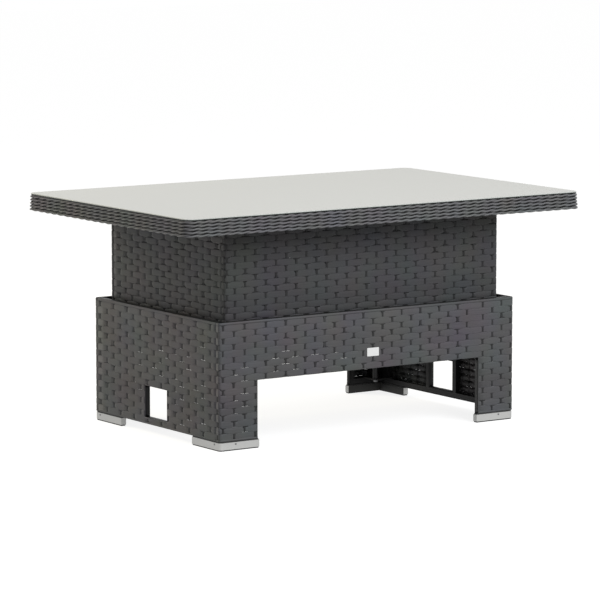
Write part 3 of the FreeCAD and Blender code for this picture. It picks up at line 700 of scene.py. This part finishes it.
def dimmed(nodes, links, colour, share):
    """Darkens a colour to a share of itself."""
    dim = nodes.new("ShaderNodeVectorMath")
    dim.operation = "SCALE"
    links.new(colour, dim.inputs["Vector"])
    links.new(share, dim.inputs["Scale"])
    return dim.outputs[0]


def raise_grain(nodes, links, shader, grain, strength, height):
    """Lets a noise raise and lower the surface."""
    bump = nodes.new("ShaderNodeBump")
    bump.inputs["Strength"].default_value = strength
    bump.inputs["Distance"].default_value = height
    links.new(grain.outputs["Fac"], bump.inputs["Height"])
    links.new(bump.outputs["Normal"], shader.inputs["Normal"])


strand_gloss = 0.2
tone_middle = (0.49, 0.51)
tone_shares = (0.93, 1.07)
# Painted shade on the upright strands, spread a little from one to the next.
upright_shade_spread = 0.85
hue_scale = 9.0
hue_share = 0.16
rib_scale = (9.0, 700.0, 31.0)
rib_share = 0.25
rib_strength = 0.35
rib_height = 0.0004


def strand_tones(nodes, links, tone, colour, upright_shade):
    """Colour of a strand by its tone, which is below 0 on the deeper upright ones, darkened there with
    painted shade.
    """
    ramp = nodes.new("ShaderNodeValToRGB")
    steps = ramp.color_ramp.elements
    for place in tone_middle:
        steps.new(place)
    for step, share in zip(steps, (upright_shade * upright_shade_spread, upright_shade, *tone_shares)):
        step.color = tuple(c * share for c in colour) + (1.0,)
    links.new(ranged(nodes, links, tone, 0.0, 1.0, low=-1.0), ramp.inputs["Fac"])
    return ramp.outputs["Color"]


def strand_material(name, colour, upright_shade, roughness, shade_depths, shade_share):
    """Extruded polyethylene with fine ribs along each strand and a slightly different tone on each.

    The upright strands lie deeper and are given painted shade, darker by the given share. Painted
    shade darkens every strand where it sinks, down to another share over the given range of depths."""
    paint, nodes, links, shader = new_paint(name, roughness)
    shader.inputs["Specular IOR Level"].default_value = strand_gloss
    tone = read_point(nodes, "tone")
    hue = noise(nodes, links, object_place(nodes), hue_scale, detail=1.0)
    place = nodes.new("ShaderNodeCombineXYZ")
    for axis, value in zip("XYZ", (read_point(nodes, "along"), read_point(nodes, "across"), tone)):
        links.new(value, place.inputs[axis])
    rib_place = stretched(nodes, links, place.outputs[0], rib_scale)
    ribs = noise(nodes, links, rib_place, scale=1.0, detail=3.0)
    plain = strand_tones(nodes, links, tone, colour, upright_shade)
    tinted = mixed(nodes, links, "SOFT_LIGHT", hue_share, plain, hue.outputs["Color"])
    ribbed = mixed(nodes, links, "OVERLAY", rib_share, tinted, ribs.outputs["Fac"])
    # Painted shade where the strand sinks below the face of the weave.
    recess_shade = ranged(nodes, links, read_point(nodes, "sink"), 1.0, shade_share, *shade_depths)
    links.new(dimmed(nodes, links, ribbed, recess_shade), shader.inputs["Base Color"])
    raise_grain(nodes, links, shader, ribs, rib_strength, rib_height)
    return paint


# Painted shade: the strands darken over these depths as they sink, and the upright ones all along.
weave_shade_depths = (0.0011, 0.0026)
casing_grey = (0.0925, 0.0915, 0.095)
casing_paint = strand_material("casing_strand", casing_grey, upright_shade=0.32, roughness=0.46,
                               shade_depths=weave_shade_depths, shade_share=0.16)
for side, side_name in enumerate(side_names):
    side_opening = hand_hole if side % 2 else arch
    casing_basket = weave_side(casing, side, casing["high"], side_opening, casing_seed)
    finish_basket(casing_basket, "casing_weave_" + side_name, "casing", casing_paint,
                  "base_weave_" + side_name)


# Sliding box weave
# The box under the top is woven in the same way over its own frame, of the same strands, and goes
# down inside the casing. Its grey is darker than the casing's, as painted shade from the top above
# it. Its ends stop short of the rails at the top.
sliding_box = woven_box(
    "box_weave_front", corner=0.0075, top_strip=0.0091, row_pitch=0.01835, first_under=1,
    long_columns=((0.0070, 0.0, 1), (0.0345, 0.0355, 27)), end_columns=((0.0142, 0.0358, 18),))
box_seed = 40
# Darker than the casing's grey, as painted shade of the top over the box.
box_shaded_grey = (0.0565, 0.0565, 0.0585)
box_paint = strand_material("box_shaded_strand", box_shaded_grey, upright_shade=0.36, roughness=0.46,
                            shade_depths=weave_shade_depths, shade_share=0.16)
for side, side_name in enumerate(side_names):
    side_top = cad_box("box_weave_" + side_name)[1][2]
    box_basket = weave_side(sliding_box, side, side_top, None, box_seed)
    finish_basket(box_basket, "box_weave_skin_" + side_name, "lift", box_paint,
                  "box_weave_" + side_name)


# Rim of the top
# Five rows of round strands are twined in pairs round the edge of the table frame. The pairs all
# twist the same way, and their crossings stand one above the other. Flat strands back the rows
# and wrap the underside.
rim_box_low, (rim_half_x, rim_half_y, rim_high) = cad_box("rim_weave")
rim_hang = 0.0012
rim_low = round(rim_box_low[2] - rim_hang, 4)
rim_radius = 0.030
rim_low_radius = 0.024
rim_rows = 5
rim_seed = 60
row_height = (rim_high - rim_low) / rim_rows
# The two strands of a row: the length of a twist on each side, and their thickness
rope_twist_long = 0.0695
rope_twist_end = 0.078
rope_end_slope = 0.7
rope_steps = 1134
rope_start_share = -0.05
rope_loosen = 0.35
rope_offset = 0.0018
rope_strand = 0.0029
rope_flatten = 0.98
rope_inset = rope_offset + rope_strand + hairline
rope_sides = 8
rope_angles = np.linspace(0.0, 2 * math.pi, rope_sides + 1)[:-1]
# Flat strands: one upright behind the rows, and two under them as inset and half width
sheet_steps = 480
sheet_thickness = 0.001
sheet_tone = 0.2
backing_inset = 0.0068
backing_half_width = 0.0225
wrap_lift = 0.0006
wraps = ((0.0150, 0.0048), (0.0245, 0.0042))


def rim_length(half_x, half_y, radius):
    """Length of the way round a rectangle with round corners."""
    return 4 * (half_x + half_y - 2 * radius) + 2 * math.pi * radius


def rim_line(inset, shares, radius):
    """Points and outward directions at shares of the way round the top, set in from its edge."""
    loop = (rim_half_x - inset, rim_half_y - inset, radius - inset)
    return loop_point(*loop, shares * rim_length(*loop))


def round_strand(basket, centre, out, level, turn_angle, tone):
    """Adds a closed round strand, swung about its row's line by an angle at each ring."""
    away = np.cos(turn_angle)[:, None] * rope_offset
    rise = np.sin(turn_angle)[:, None] * rope_offset
    ring_out = rope_strand * np.cos(rope_angles)
    ring_up = rope_strand * rope_flatten * np.sin(rope_angles)
    rings = np.zeros((rope_steps, rope_sides, 3))
    rings[:, :, :2] = centre[:, None, :] + out[:, None, :] * (away + ring_out)[:, :, None]
    rings[:, :, 2] = level + rise + ring_up
    index = basket["count"] + np.arange(rope_steps * rope_sides).reshape(rope_steps, rope_sides)
    ahead = np.roll(index, -1, axis=0)
    quads = np.stack([index, ahead, np.roll(ahead, -1, axis=1), np.roll(index, -1, axis=1)], axis=-1)
    along = np.arange(rope_steps) / rope_steps * rim_length(rim_half_x, rim_half_y, rim_radius)
    # The depth of each point below the row's outer face, which the material turns into painted shade
    # between the strands.
    store(basket, rings, quads.reshape(-1, 4)[:, ::-1].tolist(), tone, along[:, None],
          rope_angles * rope_strand, rope_offset + rope_strand - away - ring_out)


def twined_row(basket, row, rng):
    """Adds one row of the rim: two strands that twist about each other all the way round."""
    level = rim_high - (row + 0.5) * row_height
    radius = rim_radius + (rim_low_radius - rim_radius) * row / (rim_rows - 1)
    centre, out = rim_line(rope_inset, np.arange(rope_steps) / rope_steps, radius)
    at_end = np.abs(out[:, 0]) > rope_end_slope
    turns = np.cumsum(1 / np.where(at_end, rope_twist_end, rope_twist_long))
    count = round(turns[-1] * rim_length(rim_half_x, rim_half_y, rim_radius) / rope_steps)
    turns *= count / turns[-1]
    loosen = np.array([rng.uniform(-rope_loosen, rope_loosen) for turn in range(count)])
    wobble = np.interp(turns, np.arange(count), loosen, period=count)
    for half_turn in (0.0, 0.5):
        turn_angle = 2 * math.pi * (turns + rope_start_share + half_turn) + wobble
        round_strand(basket, centre, out, level, turn_angle, rng.random())


def flat_strand(basket, inset, level, half_width, upright):
    """Adds a flat strand all round the rim, upright behind the rows or facing down under them."""
    shares = np.append(np.arange(0, 1, 1 / sheet_steps), 1.0)
    centre, out = rim_line(inset, shares, rim_radius)
    up = upward(len(shares))
    face, wide = (raised(out), up) if upright else (-up, raised(out))
    # The upright backing sinks by its inset, so the material gives it full painted shade behind the
    # rows.
    lay_strand(basket, raised(centre, level), face, wide, -half_width, half_width, upright_profile,
               sheet_thickness, 0.0, sheet_tone, sink=inset if upright else 0.0)


rim_basket = new_basket()
rim_rng = random.Random(rim_seed)
for row in range(rim_rows):
    twined_row(rim_basket, row, rim_rng)
rim_middle = (rim_low + rim_high) / 2
flat_strand(rim_basket, backing_inset, rim_middle, backing_half_width, upright=True)
for wrap_inset, wrap_half_width in wraps:
    flat_strand(rim_basket, wrap_inset, rim_low + wrap_lift, wrap_half_width, upright=False)
rim_grey = (0.150, 0.150, 0.154)
# The rows and the backing are darkened with painted shade where they lie deep.
rim_paint = strand_material("rim_strand", rim_grey, upright_shade=0.4, roughness=0.42,
                            shade_depths=(0.0016, 0.0050), shade_share=0.10)
finish_basket(rim_basket, "rim_twined_rows", "lift", rim_paint, "rim_weave")


# Glass top
# One pane of tempered glass with round corners and a polished edge covers the whole top. Its
# back is coated in a pale warm grey, so it looks solid from above and dark only at its edge.
glass_inset = 0.002
glass_radius = 0.029
glass_top_arris = 0.0019
glass_low_arris = 0.0010
glass_belly = 0.0003
glass_corner_steps = 12
glass_refraction = 1.5
coat_grey = (0.500, 0.508, 0.480)
arris_grey = (0.52, 0.54, 0.51)
edge_dark = (0.018, 0.024, 0.021)
coat_part, arris_part, edge_part = range(3)
glass_box_low, (glass_high_x, glass_high_y, glass_high) = cad_box("glass_top")
glass_low = glass_box_low[2]


def pane_ring(inset, level):
    """Points round the pane at one level, set in from its edge."""
    half_x = glass_high_x - glass_inset - inset
    half_y = glass_high_y - glass_inset - inset
    radius = glass_radius - inset
    points = []
    for sx, sy, first in ((1, 1, 0), (-1, 1, 90), (-1, -1, 180), (1, -1, 270)):
        for step in range(glass_corner_steps + 1):
            angle = math.radians(first + 90 * step / glass_corner_steps)
            points.append((sx * (half_x - radius) + radius * math.cos(angle),
                           sy * (half_y - radius) + radius * math.sin(angle), level))
    return points


def two_tones(nodes, links, grain, colour, share, low=0.0, high=1.0):
    """Colour that goes from darker to lighter by a share, as the grain goes from low to high."""
    ramp = nodes.new("ShaderNodeValToRGB")
    dark, light = ramp.color_ramp.elements
    dark.position = low
    dark.color = tuple(c * (1 - share) for c in colour) + (1.0,)
    light.position = high
    light.color = tuple(min(1.0, c * (1 + share)) for c in colour) + (1.0,)
    links.new(grain.outputs["Fac"], ramp.inputs["Fac"])
    return ramp.outputs["Color"]


def glass_material(name, colour, roughness, mottle):
    """Coated or bare glass, with very soft clouds in its tone."""
    paint, nodes, links, shader = new_paint(name, roughness)
    shader.inputs["IOR"].default_value = glass_refraction
    cloud = noise(nodes, links, object_place(nodes), scale=2.2, detail=2.0)
    links.new(two_tones(nodes, links, cloud, colour, mottle), shader.inputs["Base Color"])
    return paint


pane_rings = [pane_ring(glass_top_arris, glass_high),
              pane_ring(glass_belly, glass_high - glass_top_arris),
              pane_ring(glass_belly, glass_low + glass_low_arris),
              pane_ring(glass_low_arris, glass_low)]
pane_count = len(pane_rings[0])
pane_faces = [list(range(pane_count))]
pane_parts = [coat_part]
for ring in range(len(pane_rings) - 1):
    for step in range(pane_count):
        ahead = (step + 1) % pane_count
        pane_faces.append([ring * pane_count + ahead, ring * pane_count + step,
                           (ring + 1) * pane_count + step, (ring + 1) * pane_count + ahead])
        pane_parts.append(edge_part if ring else arris_part)
pane_faces.append([3 * pane_count + step for step in range(pane_count)][::-1])
pane_parts.append(coat_part)
pane_mesh = bpy.data.meshes.new("glass_pane")
pane_mesh.from_pydata([point for ring in pane_rings for point in ring], [], pane_faces)
pane_mesh.polygons.foreach_set("material_index", pane_parts)
pane = bpy.data.objects.new("glass_pane", pane_mesh)
bpy.context.scene.collection.objects.link(pane)
pane_mesh.materials.append(glass_material("pane_back_coat", coat_grey, roughness=0.28, mottle=0.015))
pane_mesh.materials.append(glass_material("pane_arris", arris_grey, roughness=0.16, mottle=0.02))
pane_mesh.materials.append(glass_material("pane_edge", edge_dark, roughness=0.22, mottle=0.2))
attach(pane, "lift")
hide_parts("glass_top")


# Feet
# Each leg stands on a moulded black block, and a band of satin aluminium wraps the block and
# turns its corner. Two small screws hold each band.
corner_names = ("front_left", "front_right", "back_left", "back_right")
drawn_scale = (12.0, 12.0, 1600.0)
drawn_strength = 0.1
drawn_polish = (0.8, 1.25)
moulded_spread = 0.15
grain_height = 0.0002
inner_shade = 0.12
band_grey = (0.46, 0.46, 0.45)
block_grey = (0.018, 0.018, 0.018)
fastener_grey = (0.16, 0.16, 0.165)
# Faces of a band deeper than this are its inner ones
band_face_depth = 0.0171


def paint_inner_shade(nodes, links, place, colour, inner):
    """Paints shade into a colour where the place lies within an inner half length and half width."""
    split = nodes.new("ShaderNodeSeparateXYZ")
    links.new(place, split.inputs[0])
    both = nodes.new("ShaderNodeMath")
    both.operation = "MULTIPLY"
    for number, (axis, half_width) in enumerate(zip("XY", inner)):
        far = nodes.new("ShaderNodeMath")
        far.operation = "ABSOLUTE"
        links.new(split.outputs[axis], far.inputs[0])
        less = nodes.new("ShaderNodeMath")
        less.operation = "LESS_THAN"
        less.inputs[1].default_value = half_width
        links.new(far.outputs[0], less.inputs[0])
        links.new(less.outputs[0], both.inputs[number])
    return dimmed(nodes, links, colour, ranged(nodes, links, both.outputs[0], 1.0, inner_shade))


def metal_material(name, colour, roughness, grain, metallic, inner=None):
    """Metal with a fine drawn grain.

    Faces within the inner half length and half width get painted shade and stay dark."""
    paint, nodes, links, shader = new_paint(name, roughness)
    shader.inputs["Metallic"].default_value = metallic
    place = object_place(nodes)
    drawn = noise(nodes, links, stretched(nodes, links, place, drawn_scale), scale=1.0, detail=3.0)
    finish = two_tones(nodes, links, drawn, colour, grain, low=0.3, high=0.7)
    if inner is not None:
        finish = paint_inner_shade(nodes, links, place, finish, inner)
    links.new(finish, shader.inputs["Base Color"])
    polish = [roughness * share for share in drawn_polish]
    links.new(ranged(nodes, links, drawn.outputs["Fac"], *polish), shader.inputs["Roughness"])
    raise_grain(nodes, links, shader, drawn, drawn_strength, grain_height)
    return paint


def moulded_material(name, colour, roughness, scale, strength, gloss=0.5):
    """Moulded plastic, rubber or powder coat with a fine grain. gloss is how much it mirrors."""
    paint, nodes, links, shader = new_paint(name, roughness)
    shader.inputs["Specular IOR Level"].default_value = gloss
    grain = noise(nodes, links, object_place(nodes), scale, detail=4.0)
    finish = two_tones(nodes, links, grain, colour, moulded_spread, low=0.25, high=0.75)
    links.new(finish, shader.inputs["Base Color"])
    raise_grain(nodes, links, shader, grain, strength, grain_height)
    return paint


def dress(node, material):
    """Gives a carried-over piece its finish."""
    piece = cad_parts[node]
    piece.data.materials.clear()
    piece.data.materials.append(material)


# The inner faces of the bands are darkened with painted shade.
band_inner = (casing["half_x"] - band_face_depth, casing["half_y"] - band_face_depth)
band_metal = metal_material("band_aluminium", band_grey, roughness=0.62, grain=0.03, metallic=0.97,
                            inner=band_inner)
block_black = moulded_material("block_black", block_grey, roughness=0.6, scale=900.0, strength=0.3)
fastener_zinc = metal_material("fastener_zinc", fastener_grey, roughness=0.35, grain=0.06, metallic=1.0)
for corner_name in corner_names:
    dress("foot_band_" + corner_name, band_metal)
    dress("foot_block_" + corner_name, block_black)
dress("foot_screws", fastener_zinc)


# Plate on the front apron
# A small bare plate of satin metal sits on the weave, slightly right of the middle. It is cut from
# thin sheet with round corners and fixed flat to the strands.
plate_grey = (0.72, 0.72, 0.715)
plate_metal = metal_material("plate_satin", plate_grey, roughness=0.3, grain=0.03, metallic=0.7)
dress("badge_plate", plate_metal)


# Frames
# The frames are welded from square and flat aluminium tube and powder coated dark grey. They
# show through the arches, under the top and in the gap round the box.
coat_black = (0.022, 0.022, 0.023)
frame_coat = moulded_material("frame_coat", coat_black, roughness=0.55, scale=1400.0, strength=0.25,
                              gloss=0.24)
for frame_name in ("base_frame", "box_frame", "table_frame"):
    dress(frame_name, frame_coat)
dress("frame_bolts", fastener_zinc)


# Gas springs
# Four lockable gas springs stand in the corners: black painted cylinders on folded brackets,
# chromed rods, and release pins in the tops of the rods.
cylinder_grey = (0.014, 0.014, 0.015)
chrome_grey = (0.62, 0.62, 0.63)
cylinder_black = moulded_material("cylinder_black", cylinder_grey, roughness=0.3, scale=500.0,
                                  strength=0.05, gloss=0.25)
rod_chrome = metal_material("rod_chrome", chrome_grey, roughness=0.1, grain=0.02, metallic=1.0)
for corner_name in corner_names:
    dress("spring_bracket_" + corner_name, frame_coat)
    dress("spring_cylinder_" + corner_name, cylinder_black)
    dress("spring_rod_" + corner_name, rod_chrome)
    dress("release_pin_" + corner_name, rod_chrome)
for fastener_name in ("bracket_screws", "spring_nuts", "rod_nuts"):
    dress(fastener_name, fastener_zinc)


# Release levers
# A lever under each end of the top presses two release pins at once. It is a powder coated steel
# bar with a moulded grip, on a pin in a bracket under the rails.
grip_grey = (0.022, 0.022, 0.022)
grip_black = moulded_material("grip_black", grip_grey, roughness=0.55, scale=1100.0, strength=0.5)
for side_name in ("left", "right"):
    dress("release_lever_" + side_name, frame_coat)
    dress("lever_grip_" + side_name, grip_black)
    dress("lever_bracket_" + side_name, frame_coat)
    dress("lever_pin_" + side_name, fastener_zinc)
dress("lever_screws", fastener_zinc)


# Glides and pads
# Black nylon shoes guide the box in the casing, some on the box and some on the casing. Clear
# soft discs on the rails of the top carry the glass.
nylon_grey = (0.02, 0.02, 0.021)
pad_grey = (0.45, 0.45, 0.43)
nylon_black = moulded_material("nylon_black", nylon_grey, roughness=0.4, scale=700.0, strength=0.2)
pad_clear = moulded_material("pad_clear", pad_grey, roughness=0.25, scale=300.0, strength=0.1)
dress("box_glides", nylon_black)
dress("casing_glides", nylon_black)
dress("glass_pads", pad_clear)
